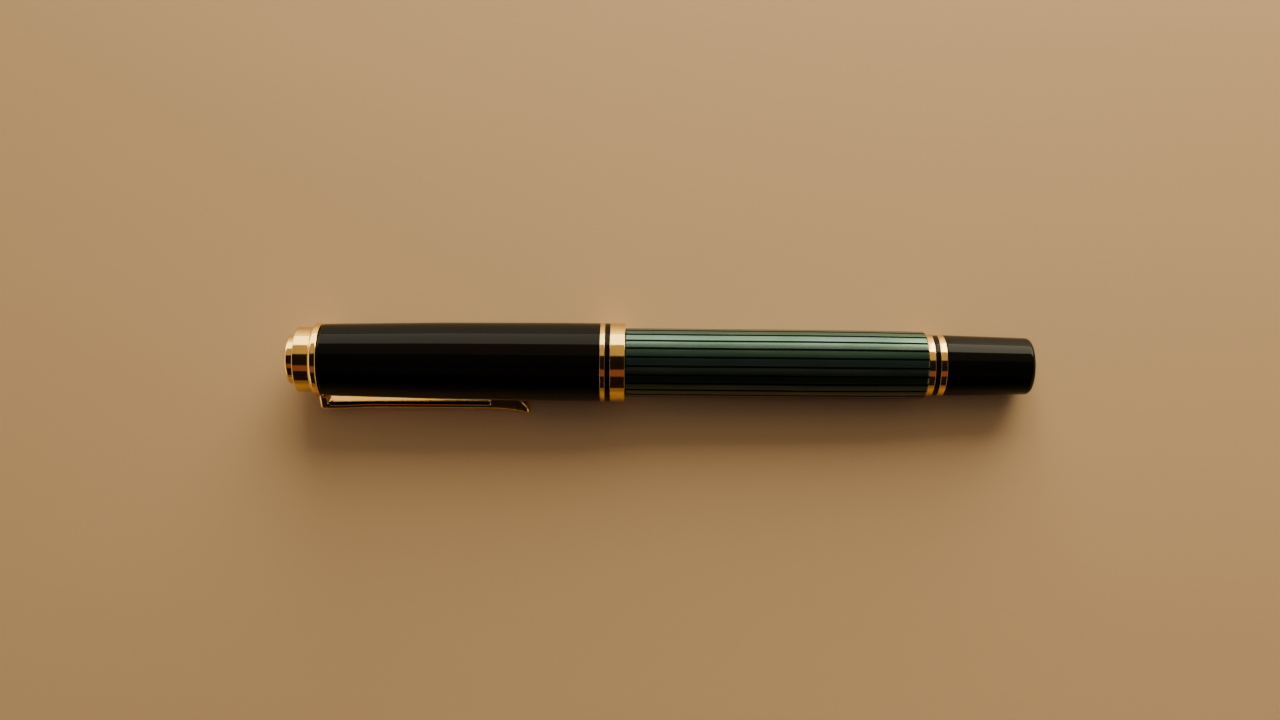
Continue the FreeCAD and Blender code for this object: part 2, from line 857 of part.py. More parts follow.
def make_feed():
    """The finned feed under the nib, with the tail that reaches into the ink."""
    body = turned_body(
        "feed",
        [
            (dims.feed_nose, 0),
            (dims.feed_tail_x, 0),
            (dims.feed_tail_x, dims.feed_tail_r),
            (dims.nib_bore_x, dims.feed_tail_r),
            (dims.nib_bore_x, dims.feed_r),
            (dims.feed_nose, dims.feed_r),
        ],
    )
    start = dims.feed_nose - dims.feed_cut
    outside = dims.feed_r + dims.feed_cut
    belly_x = dims.feed_nose + dims.feed_belly_length
    ramp_x = dims.feed_nose + dims.feed_seat_length
    nib_seat = block_outline(start, dims.nib_bore_x, dims.feed_seat_r, outside)
    cut_groove(body, "nib_seat", nib_seat, NIB_SEAT_ARC)
    nose_ramp = [
        (start, dims.feed_seat_nose),
        (ramp_x, dims.feed_seat_r),
        (ramp_x, outside),
        (start, outside),
    ]
    cut_through(body, "nose_ramp", "XZ_Plane", nose_ramp)
    belly = [
        (start, -outside),
        (belly_x, -outside),
        (belly_x, -dims.feed_r),
        (start, dims.feed_belly_nose, dims.feed_belly_r, HOLLOW),
    ]
    cut_through(body, "belly", "XZ_Plane", belly)
    plan_x = dims.feed_nose + dims.feed_plan_length
    for side in (1, -1):
        taper = [
            (start, dims.feed_plan_nose * side),
            (plan_x, dims.feed_r * side),
            (plan_x, outside * side),
            (start, outside * side),
        ]
        cut_through(body, "taper", "XY_Plane", taper[::side])
    fin_floor = dims.fin_depth - dims.feed_r
    slot = block_outline(
        dims.fin_first_x, dims.fin_first_x + dims.fin_slot, -outside, fin_floor
    )
    first_fin = cut_groove(body, "fin", slot, FIN_ARC)
    fins = body.newObject("PartDesign::LinearPattern", "fins")
    fins.Originals = [first_fin]
    fins.Direction = (first_fin.Profile[0], ["H_Axis"])
    fins.setExpression("Length", bound(dims.fin_pitch * (FIN_COUNT - 1)))
    fins.Occurrences = FIN_COUNT
    body.Tip = fins
    return body


def draw_nib_section(body, x, top, half, drop):
    """A curved strip with its crest at height top, and its edges drop below and half to each side."""
    sketch = add_sketch(body, "rib", "YZ_Plane", x)
    outer = arc_radius(half, drop)
    inner = outer - dims.nib_sheet
    edge_z = top - drop
    inner_half = half * inner / outer
    inner_z = top - outer + (outer - drop) * inner / outer
    draw_outline(
        sketch,
        [
            (half, edge_z),
            (-half, edge_z, outer),
            (-inner_half, inner_z),
            (inner_half, inner_z, inner, HOLLOW),
        ],
    )
    return sketch


def make_nib():
    """The nib: a curved sheet, with its breather hole and its slit cut through."""
    body = add_body("nib")
    stations = [
        (dims.nib_root_x, dims.nib_root_top, dims.nib_root_half, dims.nib_root_drop),
        (dims.grip_x, dims.nib_root_top, dims.nib_root_half, dims.nib_root_drop),
        (
            dims.nib_shoulder_x,
            dims.nib_shoulder_top,
            dims.nib_shoulder_half,
            dims.nib_shoulder_drop,
        ),
        (dims.nib_vent_x, dims.nib_vent_top, dims.nib_vent_half, dims.nib_vent_drop),
        (dims.nib_blade_x, dims.nib_blade_top, dims.nib_blade_half, dims.nib_blade_drop),
        (dims.nib_neck_x, dims.nib_neck_top, dims.nib_neck_half, dims.nib_neck_drop),
        (dims.nib_end_x, dims.nib_end_top, dims.nib_end_half, dims.nib_end_drop),
    ]
    sections = [draw_nib_section(body, *station) for station in stations]
    doc.recompute()
    shank = body.newObject("PartDesign::AdditiveLoft", "shank")
    shank.Profile = sections[0]
    shank.Sections = sections[1:2]
    shank.Ruled = True
    doc.recompute()
    blade = body.newObject("PartDesign::AdditiveLoft", "blade")
    blade.Profile = sections[1]
    blade.Sections = sections[2:]
    doc.recompute()
    half = dims.slit_width / 2
    slit = block_outline(dims.nib_end_x - dims.nib_point_r, dims.breather_x, -half, half)
    cut_through(body, "slit", "XY_Plane", slit)
    hole = [
        (dims.breather_x + dims.breather_r, 0, dims.breather_r),
        (dims.breather_x - dims.breather_r, 0, dims.breather_r),
    ]
    cut_through(body, "breather", "XY_Plane", hole)
    return body


def make_nib_point():
    """The hard ball at the nib's end that touches the paper."""
    point = doc.addObject("Part::Sphere", "nib_point")
    point.Label = "nib_point"
    point.setExpression("Radius", bound(dims.nib_point_r))
    x = dims.nib_end_x - dims.nib_point_r
    z = dims.nib_end_top - dims.nib_sheet / 2
    point.Placement = Placement(Vector(x.value, 0, z.value), Rotation())
    return point


# ---------------------------------------------------------------- filler


def make_end_rings():
    seat = dims.end_seat_r
    front = ring_outline(
        dims.sleeve_length, dims.spacer_x, seat, dims.end_front_r, dims.ring_edge
    )
    spacer = ring_outline(dims.spacer_x, dims.end_rear_x, seat, dims.end_spacer_r)
    rear = ring_outline(
        dims.end_rear_x, dims.housing_end, seat, dims.end_rear_r, dims.ring_edge
    )
    return [
        turned_body("end_ring_front", front),
        turned_body("end_spacer", spacer),
        turned_body("end_ring_rear", rear),
    ]


def make_housing():
    """The brass sleeve in the barrel's end: the rod's guide in front, the threaded bore behind."""
    guide_r = dims.coarse_crest_r + dims.run
    guide_back = dims.housing_front + dims.guide_width
    thread_bore = dims.fine_core_r + dims.thread_play
    outer = dims.tube_bore_r - dims.slip
    body = turned_body(
        "filler_housing",
        [
            (dims.housing_front, guide_r),
            (guide_back, guide_r),
            (guide_back, dims.housing_bore_r),
            (dims.housing_thread_x, dims.housing_bore_r),
            (dims.housing_thread_x, thread_bore),
            (dims.housing_end, thread_bore),
            (dims.housing_end, dims.end_seat_r),
            (dims.sleeve_length, dims.end_seat_r),
            (dims.sleeve_length, outer),
            (dims.housing_front, outer),
        ],
    )
    near = dims.rod_flat + dims.run
    far = guide_r + dims.guide_overlap
    for low, high in ((near, far), (-far, -near)):
        sketch = add_sketch(body, "flat_outline", "XY_Plane")
        draw_outline(sketch, block_outline(dims.housing_front, guide_back, low, high))
        flat = body.newObject("PartDesign::Pad", "flat")
        flat.Profile = sketch
        flat.setExpression("Length", bound(far * 2))
        flat.Midplane = True
        doc.recompute()
    add_thread(
        body,
        "fine",
        "PartDesign::SubtractiveHelix",
        dims.housing_thread_x - dims.fine_pitch,
        dims.housing_end - dims.housing_thread_x + dims.fine_pitch * 2,
        dims.fine_pitch,
        (
            dims.fine_core_r,
            dims.fine_crest_r + dims.thread_play,
            dims.fine_base + dims.thread_play * 2,
            dims.fine_top + dims.thread_play * 2,
        ),
    )
    return body


def make_spindle():
    """The hollow screw: fine thread outside, coarse nut inside its front end, tail in the knob."""
    nut_bore = dims.coarse_core_r + dims.thread_play
    nut_back = dims.spindle_front + dims.coarse_nut_length
    seat_back = dims.stop_seat_x + dims.stop_width
    body = turned_body(
        "spindle",
        [
            (dims.spindle_front, nut_bore),
            (nut_back, nut_bore),
            (nut_back, dims.spindle_bore_r),
            (dims.spindle_tail_x, dims.spindle_bore_r),
            (dims.spindle_tail_x, dims.spindle_tail_r),
            (dims.knob_x, dims.spindle_tail_r),
            (dims.knob_x, dims.fine_core_r),
            (seat_back, dims.fine_core_r),
            (seat_back, dims.stop_seat_r),
            (dims.stop_seat_x, dims.stop_seat_r),
            (dims.stop_seat_x, dims.fine_core_r),
            (dims.spindle_front, dims.fine_core_r),
        ],
    )
    first_turn = dims.housing_thread_x - dims.fine_pitch * 2
    add_thread(
        body,
        "fine",
        "PartDesign::AdditiveHelix",
        first_turn,
        dims.knob_x - dims.fine_base - first_turn,
        dims.fine_pitch,
        (
            dims.fine_core_r - dims.root_sink,
            dims.fine_crest_r,
            dims.fine_base,
            dims.fine_top,
        ),
    )
    add_thread(
        body,
        "coarse",
        "PartDesign::SubtractiveHelix",
        dims.spindle_front - dims.coarse_lead,
        dims.coarse_lead * 2,
        dims.coarse_lead,
        (
            dims.coarse_core_r,
            dims.coarse_crest_r + dims.thread_play,
            dims.coarse_base + dims.thread_play * 2,
            dims.coarse_top + dims.thread_play * 2,
        ),
        COARSE_THREAD_STARTS,
    )
    return body


def make_stop_collar():
    """The split ring snapped into the spindle's groove, which ends the unscrewing."""
    front = dims.stop_seat_x + dims.run
    back = dims.stop_seat_x + dims.stop_width - dims.run
    return turned_body(
        "stop_collar", ring_outline(front, back, dims.stop_seat_r + dims.run, dims.stop_r)
    )


def make_knob():
    shoulder_x = dims.knob_end - dims.knob_rise
    dome_r = dims.knob_rear_r - dims.knob_corner
    return turned_body(
        "filler_knob",
        [
            (dims.knob_x, dims.spindle_tail_r),
            (dims.spindle_tail_x, dims.spindle_tail_r),
            (dims.spindle_tail_x, dims.spindle_bore_r),
            (dims.knob_bore_end, dims.spindle_bore_r),
            (dims.knob_bore_end, 0),
            (dims.knob_end, 0),
            (shoulder_x, dome_r, arc_radius(dome_r, dims.knob_rise)),
            (shoulder_x - dims.knob_corner, dims.knob_rear_r, dims.knob_corner),
            (dims.knob_x + dims.knob_front_edge, dims.knob_front_r),
            (dims.knob_x, dims.knob_front_r - dims.knob_front_edge, dims.knob_front_edge),
        ],
    )


def make_piston_rod():
    """The threaded rod with two flats, and the flanged nose that carries the seal."""
    flange_x = dims.seal_rear + dims.flange_width
    body = turned_body(
        "piston_rod",
        [
            (dims.rod_nose_x, 0),
            (dims.rod_tail_x, 0),
            (dims.rod_tail_x, dims.coarse_core_r),
            (flange_x, dims.coarse_core_r),
            (flange_x, dims.flange_r),
            (dims.seal_rear, dims.flange_r),
            (dims.seal_rear, dims.rod_nose_r),
            (dims.rod_nose_x, dims.rod_nose_r),
        ],
    )
    first_turn = dims.spindle_front - dims.coarse_lead * 2
    add_thread(
        body,
        "coarse",
        "PartDesign::AdditiveHelix",
        first_turn,
        dims.rod_tail_x - dims.coarse_base - first_turn,
        dims.coarse_lead,
        (
            dims.coarse_core_r - dims.root_sink,
            dims.coarse_crest_r,
            dims.coarse_base,
            dims.coarse_top,
        ),
        COARSE_THREAD_STARTS,
    )
    outside = dims.coarse_crest_r * 2
    tail = dims.rod_tail_x + dims.coarse_base
    for low, high in ((dims.rod_flat, outside), (-outside, -dims.rod_flat)):
        cut_through(body, "flat", "XY_Plane", block_outline(flange_x, tail, low, high))
    return body


def make_piston_seal():
    lip_r = dims.tube_bore_r - dims.run
    rear_lip = dims.seal_rear - dims.seal_lip
    front_lip = dims.seal_front + dims.seal_lip
    return turned_body(
        "piston_seal",
        [
            (dims.seal_front, 0),
            (dims.rod_nose_x, 0),
            (dims.rod_nose_x, dims.rod_nose_r),
            (dims.seal_rear, dims.rod_nose_r),
            (dims.seal_rear, lip_r),
            (rear_lip, lip_r),
            (rear_lip - dims.seal_slope, dims.seal_waist_r),
            (front_lip + dims.seal_slope, dims.seal_waist_r),
            (front_lip, lip_r),
            (dims.seal_front, lip_r),
        ],
    )


# ---------------------------------------------------------------- assembly


def make_parts():
    cap = [
        make_cap_tube(),
        make_cap_band(),
        make_cap_hoop(),
        make_inner_cap(),
        make_clip_ring(),
        make_crown(),
        make_crown_bezel(),
        make_crown_disc(),
        make_crown_screw(),
        make_crown_nut(),
        make_clip(),
    ]
    barrel = [
        make_barrel_sleeve(),
        make_barrel_tube(),
        make_section(),
        make_section_ring(),
        make_nib_collar(),
        make_feed(),
        make_nib(),
        make_nib_point(),
    ]
    filler = [
        *make_end_rings(),
        make_housing(),
        make_spindle(),
        make_stop_collar(),
        make_knob(),
        make_piston_rod(),
        make_piston_seal(),
    ]
    return cap + barrel + filler


def check(parts):
    """Stops if an object failed to compute or a part isn't one valid solid."""
    for obj in doc.Objects:
        if "Invalid" in obj.State or "Error" in obj.State:
            raise RuntimeError(f"{obj.Label} failed: {obj.State}")
    for part in parts:
        shape = part.Shape
        if shape.isNull() or not shape.isValid() or len(shape.Solids) != 1:
            raise RuntimeError(f"{part.Label} isn't one valid solid")


def export(parts):
    os.makedirs("parts", exist_ok=True)
    for part in parts:
        part.Shape.exportStep(os.path.join("parts", part.Label + ".step"))


fill_sheet()
all_parts = make_parts()
doc.recompute()
check(all_parts)
export(all_parts)
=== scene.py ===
"""The looks of a capped piston-filling fountain pen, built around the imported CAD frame.

The frame's +X runs along the pen to the filler knob, and the pen lies on a desk with its clip down and
to -Y.  The pen's turned pieces are lathed here in fine steps from the frame's boxes, so that their
reflections run clean.  Lengths in outlines are in millimetres, and objects are in metres.
"""

import json
import math

import bmesh
import bpy
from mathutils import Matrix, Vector


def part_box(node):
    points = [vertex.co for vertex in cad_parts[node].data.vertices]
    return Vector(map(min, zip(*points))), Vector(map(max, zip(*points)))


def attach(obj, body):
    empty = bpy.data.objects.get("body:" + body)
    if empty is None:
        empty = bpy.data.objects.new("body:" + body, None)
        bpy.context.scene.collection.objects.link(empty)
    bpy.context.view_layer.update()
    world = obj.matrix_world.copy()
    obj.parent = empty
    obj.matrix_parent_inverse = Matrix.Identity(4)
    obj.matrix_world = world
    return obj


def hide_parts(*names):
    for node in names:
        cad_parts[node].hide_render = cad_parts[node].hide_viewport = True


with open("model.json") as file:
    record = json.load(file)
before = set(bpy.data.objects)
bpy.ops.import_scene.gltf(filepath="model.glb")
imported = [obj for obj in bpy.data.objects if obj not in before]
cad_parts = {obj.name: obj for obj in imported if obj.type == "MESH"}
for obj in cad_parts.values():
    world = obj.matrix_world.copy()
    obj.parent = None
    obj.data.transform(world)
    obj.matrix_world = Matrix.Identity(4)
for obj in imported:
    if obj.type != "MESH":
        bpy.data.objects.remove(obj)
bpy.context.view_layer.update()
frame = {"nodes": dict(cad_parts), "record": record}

MM = 0.001
TURN = math.tau
LATHE_STEPS = 288
ARC_STEP = math.radians(4)
SHARP_ANGLE = math.radians(24)
SAME_PLACE = 1e-7  # metres
NO_LENGTH = 1e-8  # metres
SHEER = 0.01  # the run of a face that is upright but still goes forward in x
HOLLOW = "hollow"


# ---------------------------------------------------------------- sizes from the frame


def span(node):
    """A node's front and back x, in millimetres."""
    low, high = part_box(node)
    return low.x / MM, high.x / MM


def radius(node):
    """A turned node's largest radius, in millimetres."""
    low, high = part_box(node)
    return max(high.y - low.y, high.z - low.z) / 2 / MM


# ---------------------------------------------------------------- materials


class Surface:
    """A material in the making, with short ways to feed its shader."""

    def __init__(self, name):
        self.material = bpy.data.materials.new(name)
        self.material.use_nodes = True
        self.nodes = self.material.node_tree.nodes
        self.links = self.material.node_tree.links
        self.shader = self.nodes["Principled BSDF"]
        self.point = self.nodes.new("ShaderNodeTexCoord").outputs["Object"]

    def feed(self, socket, value):
        """Gives a socket a number, a vector, a colour or another node's output."""
        if isinstance(value, bpy.types.NodeSocket):
            self.links.new(value, socket)
        elif socket.type == "RGBA":
            socket.default_value = (*value, 1)
        else:
            socket.default_value = value

    def set(self, name, value):
        """Feeds one of the shader's own sockets."""
        self.feed(self.shader.inputs[name], value)

    def add(self, kind, inputs):
        """A new node, with its inputs fed by name."""
        node = self.nodes.new(kind)
        for name, value in inputs.items():
            self.feed(node.inputs[name], value)
        return node

    def noise(self, density, detail=3.0, roughness=0.5):
        """Noise with a density per metre, or one density for each axis where its grain runs one way."""
        point, scale = self.point, density
        if isinstance(density, tuple):
            mapping = self.add("ShaderNodeMapping", {"Vector": self.point, "Scale": density})
            point, scale = mapping.outputs["Vector"], 1.0
        inputs = {"Vector": point, "Scale": scale, "Detail": detail, "Roughness": roughness}
        return self.add("ShaderNodeTexNoise", inputs).outputs["Fac"]

    def remap(self, value, low, high, new_low, new_high):
        """The value moved from low..high to new_low..new_high, and kept inside."""
        inputs = {"Value": value, "From Min": low, "From Max": high, "To Min": new_low, "To Max": new_high}
        return self.add("ShaderNodeMapRange", inputs).outputs["Result"]

    def calculate(self, operation, *values):
        """The result of a Math node."""
        node = self.nodes.new("ShaderNodeMath")
        node.operation = operation
        for socket, value in zip(node.inputs, values):
            self.feed(socket, value)
        return node.outputs["Value"]

    def mix(self, factor, first, second):
        """A colour between two others."""
        node = self.nodes.new("ShaderNodeMix")
        node.data_type = "RGBA"
        ends = [socket for socket in node.inputs if socket.type == "RGBA"]
        for socket, value in zip((node.inputs["Factor"], *ends), (factor, first, second)):
            self.feed(socket, value)
        return next(socket for socket in node.outputs if socket.type == "RGBA")

    def bump(self, height, distance):
        """Raises the surface by up to a distance, in metres, where the height is 1."""
        node = self.add("ShaderNodeBump", {"Height": height, "Distance": distance, "Strength": 1.0})
        self.set("Normal", node.outputs["Normal"])


def polished_resin(name, colour):
    """Polished resin: deep colour, hairline polishing marks and a faint unevenness."""
    surface = Surface(name)
    surface.set("Base Color", colour)
    surface.set("Specular IOR Level", 0.09)
    wipes = surface.noise((300, 3500, 3500))
    smears = surface.noise(160.0)
    marks = surface.calculate("MULTIPLY", wipes, smears)
    surface.set("Roughness", surface.remap(marks, 0.1, 0.45, 0.035, 0.095))
    surface.bump(smears, 0.0000006)
    return surface.material


def plated_gold(name, colour, roughness):
    """Polished plating: colour a little uneven, with fine turning marks."""
    surface = Surface(name)
    surface.set("Metallic", 1.0)
    tone = surface.remap(surface.noise(220.0), 0.35, 0.7, 0.0, 1.0)
    deep = tuple(c * 0.88 for c in colour)
    surface.set("Base Color", surface.mix(tone, colour, deep))
    marks = surface.noise((9000, 700, 700))
    surface.set("Roughness", surface.remap(marks, 0.3, 0.7, roughness * 0.75, roughness * 1.5))
    surface.bump(marks, 0.0000004)
    return surface.material


def satin_part(name, colour, roughness, metallic=0.0):
    """Moulded or turned inner parts, with a fine grain."""
    surface = Surface(name)
    surface.set("Metallic", metallic)
    grain = surface.noise(1800.0, detail=4.0)
    deep = tuple(c * 0.8 for c in colour)
    surface.set("Base Color", surface.mix(surface.remap(grain, 0.3, 0.7, 0.0, 1.0), colour, deep))
    surface.set("Roughness", surface.remap(grain, 0.3, 0.7, roughness * 0.8, roughness * 1.2))
    surface.bump(grain, 0.000002)
    return surface.material


def striped_resin():
    """Lengthwise green stripes with thin black lines between them, under a clear polish."""
    stripe_count = 24
    first_stripe = 40.38  # turns the stripes about the pen's axis, and picks their shades
    line_half = 0.13  # half of a black line's width, as a share of the pitch
    wander_share = 0.1  # how far the lines wander, as a share of the pitch
    dark = (0.0025, 0.0035, 0.003)
    deep_green, pale_green = (0.028, 0.070, 0.050), (0.082, 0.143, 0.120)
    surface = Surface("striped_resin")
    calculate = surface.calculate
    axes = surface.add("ShaderNodeSeparateXYZ", {"Vector": surface.point}).outputs

    wander = calculate("SUBTRACT", surface.noise((45, 260, 260)), 0.5)
    angle = calculate("ARCTAN2", axes["Y"], axes["Z"])
    turned = calculate("MULTIPLY", angle, stripe_count / TURN)
    wandered = calculate("ADD", turned, calculate("MULTIPLY", wander, wander_share))
    phase = calculate("ADD", wandered, first_stripe)
    place = calculate("FRACT", phase)
    from_line = calculate("PINGPONG", place, 0.5)
    is_green = surface.remap(from_line, line_half - 0.015, line_half + 0.025, 0.0, 1.0)

    shade = surface.add("ShaderNodeTexWhiteNoise", {})
    shade.noise_dimensions = "1D"
    surface.feed(shade.inputs["W"], calculate("FLOOR", phase))
    fibres = surface.noise((130, 5200, 5200), detail=4.0, roughness=0.6)
    clouds = surface.noise((90, 420, 420))
    light = calculate("ADD", calculate("MULTIPLY", shade.outputs["Value"], 0.35), clouds)
    light = calculate("ADD", light, calculate("MULTIPLY", fibres, 0.5))
    green = surface.mix(surface.remap(light, 0.5, 1.3, 0.0, 1.0), deep_green, pale_green)
    # Painted shade: the green darkens toward the barrel's front (-Y) side, away from the window lights,
    # down to 0.4 of the way from the lines' dark to the green.
    painted_front_shade = surface.remap(axes["Y"], -0.0048, -0.0015, 0.4, 1.0)
    green = surface.mix(painted_front_shade, dark, green)
    surface.set("Base Color", surface.mix(is_green, dark, green))

    surface.set("Metallic", calculate("MULTIPLY", is_green, 0.84))
    surface.set("Roughness", surface.remap(light, 0.5, 1.3, 0.27, 0.20))
    surface.set("Specular IOR Level", 0.0)
    surface.set("Coat Weight", surface.remap(is_green, 0.0, 1.0, 0.08, 1.0))
    surface.set("Coat IOR", 1.2)
    surface.set("Coat Roughness", 0.035)
    # Each stripe's pearl lies a little tilted, as a ramp from one black line to the next.
    surface.bump(place, 0.00021)
    return surface.material


def ink_window():
    """The translucent green resin in front of the sleeve."""
    surface = Surface("ink_window")
    clouds = surface.noise((300, 700, 700))
    surface.set("Base Color", surface.mix(clouds, (0.010, 0.035, 0.016), (0.030, 0.085, 0.040)))
    surface.set("Roughness", surface.remap(clouds, 0.3, 0.7, 0.04, 0.1))
    surface.set("IOR", 1.5)
    surface.set("Transmission Weight", 0.35)
    return surface.material


def desk_surface():
    """The plain pale desk."""
    surface = Surface("desk")
    tone = surface.noise((6, 30, 30), detail=4.0)
    surface.set("Base Color", surface.mix(tone, (0.625, 0.41, 0.193), (0.66, 0.437, 0.209)))
    surface.set("Specular IOR Level", 0.7)
    surface.set("Roughness", surface.remap(tone, 0.0, 1.0, 0.28, 0.31))
    surface.bump(surface.noise(900.0), 0.00001)
    return surface.material


MATERIALS = {
    "black_resin": polished_resin("black_resin", (0.0025, 0.0022, 0.0020)),
    "gold_plate": plated_gold("gold_plate", (1.0, 0.64, 0.17), 0.09),
    "striped_resin": striped_resin(),
    "ink_window": ink_window(),
    "nib_gold": plated_gold("nib_gold", (0.96, 0.68, 0.33), 0.12),
    "tipping": satin_part("tipping", (0.62, 0.61, 0.59), 0.22, metallic=1.0),
    "brass_parts": satin_part("brass_parts", (0.68, 0.47, 0.20), 0.35, metallic=1.0),
    "feed_plastic": satin_part("feed_plastic", (0.010, 0.010, 0.010), 0.35),
    "seal": satin_part("seal", (0.60, 0.61, 0.58), 0.45),
    "liner": satin_part("liner", (0.012, 0.012, 0.012), 0.4),
}


def dress_frame():
    """Gives every CAD node the material of its slot."""
    for part in frame["record"]["subparts"]:
        node = frame["nodes"][part["node"]]
        node.data.materials.clear()
        node.data.materials.append(MATERIALS[part["material_slot"]])


# ---------------------------------------------------------------- mesh helpers


def arc_points(start, end, r, hollow):
    """Points after start up to end on an arc that bulges right of the way, or left if hollow."""
    chord = end - start
    half = chord.length / 2
    side = Vector((-chord.y, chord.x)).normalized() * (-1 if hollow else 1)
    centre = (start + end) / 2 + side * math.sqrt(max(r * r - half * half, 0))
    first = math.atan2(start.y - centre.y, start.x - centre.x)
    sweep = 2 * math.asin(min(half / r, 1)) * (-1 if hollow else 1)
    steps = max(2, math.ceil(abs(sweep) / ARC_STEP))
    angles = [first + sweep * i / steps for i in range(1, steps)]
    points = [centre + Vector((math.cos(a), math.sin(a))) * r for a in angles]
    return points + [end]


def trace(outline):
    """Turns corners (x, r), (x, r, arc radius) or (x, r, arc radius, HOLLOW) into points."""
    corners = [Vector(corner[:2]) for corner in outline]
    points = []
    for i, corner in enumerate(outline):
        if len(corner) == 2:
            points.append(corners[i])
        else:
            points += arc_points(corners[i - 1], corners[i], corner[2], HOLLOW in corner)
    return points


def arc_radius(run, rise):
    """The radius of an arc that starts level and rises by rise over a length of run."""
    return (run * run + rise * rise) / (rise * 2)


def add_grid(bm, rows, closed_rows=True):
    """Faces between rows of points, each row closed and joined to the next."""
    grid = [[bm.verts.new(p) for p in row] for row in rows]
    count = len(grid)
    width = len(grid[0])
    for i in range(count if closed_rows else count - 1):
        a, b = grid[i], grid[(i + 1) % count]
        for k in range(width):
            bm.faces.new((a[k], b[k], b[(k + 1) % width], a[(k + 1) % width]))
    return grid


def add_bar(bm, rows):
    """A solid bar through rows of points, with a face at each end."""
    grid = add_grid(bm, rows, closed_rows=False)
    bm.faces.new(grid[0])
    bm.faces.new(grid[-1])


def add_turned(bm, outline):
    """Turns a closed outline about the pen's axis."""
    rows = []
    for point in trace(outline):
        ring = []
        for k in range(LATHE_STEPS):
            angle = TURN * k / LATHE_STEPS
            ring.append(Vector((point.x, point.y * math.cos(angle), point.y * math.sin(angle))) * MM)
        rows.append(ring)
    add_grid(bm, rows)


def finish_mesh(name, bm, body, slot, node):
    """Makes a piece from the mesh, smooth but for its real edges, in place of a CAD node."""
    bmesh.ops.remove_doubles(bm, verts=bm.verts, dist=SAME_PLACE)
    bmesh.ops.recalc_face_normals(bm, faces=bm.faces)
    mesh = bpy.data.meshes.new(name)
    bm.to_mesh(mesh)
    bm.free()
    mesh.shade_smooth()
    mesh.set_sharp_from_angle(angle=SHARP_ANGLE)
    mesh.materials.append(MATERIALS[slot])
    piece = bpy.data.objects.new(name, mesh)
    bpy.context.scene.collection.objects.link(piece)
    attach(piece, body)
    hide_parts(node)


def lathe(name, outline, body, slot, node, extra=None):
    """A turned piece in place of a CAD node; extra(bm) may add to its mesh."""
    bm = bmesh.new()
    add_turned(bm, outline)
    if extra:
        extra(bm)
    bmesh.ops.remove_doubles(bm, verts=bm.verts, dist=SAME_PLACE)
    bmesh.ops.dissolve_degenerate(bm, dist=NO_LENGTH, edges=bm.edges)
    finish_mesh(name, bm, body, slot, node)


def ring_outline(front, back, inner, outer, edge):
    """A ring with its two outer edges rounded."""
    return [
        (front, inner),
        (back, inner),
        (back, outer - edge),
        (back - edge, outer, edge),
        (front + edge, outer),
        (front, outer - edge, edge),
    ]


THREAD_LEAD = 4.5
THREAD_STARTS = 3
THREAD_SINK = 0.05  # how far a thread's foot goes into its cylinder


def add_thread(bm, first_x, turns, base_r, crest_r, base_width, crest_width):
    """Right-handed ridges wound on a cylinder, each with a flat top and run out at both ends."""
    steps_per_turn = 120
    steps = math.ceil(turns * steps_per_turn)
    run_out = steps_per_turn // 8
    for start in range(THREAD_STARTS):
        rows = []
        for i in range(steps + 1):
            angle = TURN * (i / steps_per_turn + start / THREAD_STARTS)
            x = first_x + THREAD_LEAD * i / steps_per_turn
            fade = min(1, min(i, steps - i) / run_out)
            top_r = base_r + (crest_r - base_r) * fade
            section = [
                (x - base_width / 2, base_r),
                (x - crest_width / 2, top_r),
                (x + crest_width / 2, top_r),
                (x + base_width / 2, base_r),
            ]
            sine, cosine = math.sin(angle), math.cos(angle)
            rows.append([Vector((px, -pr * sine, pr * cosine)) * MM for px, pr in section])
        add_bar(bm, rows)


# ---------------------------------------------------------------- cap

CAP_SCREW_R = 2.0
BAND_SEAT_R = 6.95


def make_cap_shell():
    """The cap's tube, with seats for its two gold rings and a thread inside its mouth."""
    front, lip = span("cap_tube")
    lip_r = radius("cap_tube")
    band_front = span("cap_band")[0]
    hoop_front, hoop_back = span("cap_hoop")
    straight = lip - 12.0
    top_r, top_edge, edge = 6.9, 0.5, 0.06
    wall_back, bore_r, mouth_r, groove_r = front + 1.18, 6.2, 6.3, 6.5
    groove_front, groove_back = lip - 12.4, lip - 3.0
    flank = arc_radius(straight - front - top_edge, lip_r - top_r)
    outline = [
        (front, CAP_SCREW_R),
        (wall_back, CAP_SCREW_R),
        (wall_back, bore_r),
        (groove_front, bore_r),
        (groove_front, groove_r),
        (groove_back, groove_r),
        (groove_back, mouth_r),
        (lip - edge, mouth_r),
        (lip, mouth_r + edge, edge),
        (lip, BAND_SEAT_R),
        (band_front, BAND_SEAT_R),
        (band_front, lip_r - edge),
        (band_front - edge, lip_r, edge),
        (hoop_back + edge, lip_r),
        (hoop_back, lip_r - edge, edge),
        (hoop_back, BAND_SEAT_R),
        (hoop_front, BAND_SEAT_R),
        (hoop_front, lip_r - edge),
        (hoop_front - edge, lip_r, edge),
        (straight, lip_r),
        (front + top_edge, top_r, flank),
        (front, top_r - top_edge, top_edge),
    ]

    def add_inner_thread(bm):
        add_thread(
            bm,
            first_x=groove_front + 0.8,
            turns=1.6,
            base_r=groove_r + THREAD_SINK,
            crest_r=bore_r,
            base_width=0.8,
            crest_width=0.4,
        )

    lathe("cap_shell", outline, "cap", "black_resin", "cap_tube", add_inner_thread)


def make_cap_rings():
    edge = 0.05
    for node, name in (("cap_band", "cap_band_ring"), ("cap_hoop", "cap_hoop_ring")):
        outline = ring_outline(*span(node), BAND_SEAT_R, radius(node), edge)
        lathe(name, outline, "cap", "gold_plate", node)


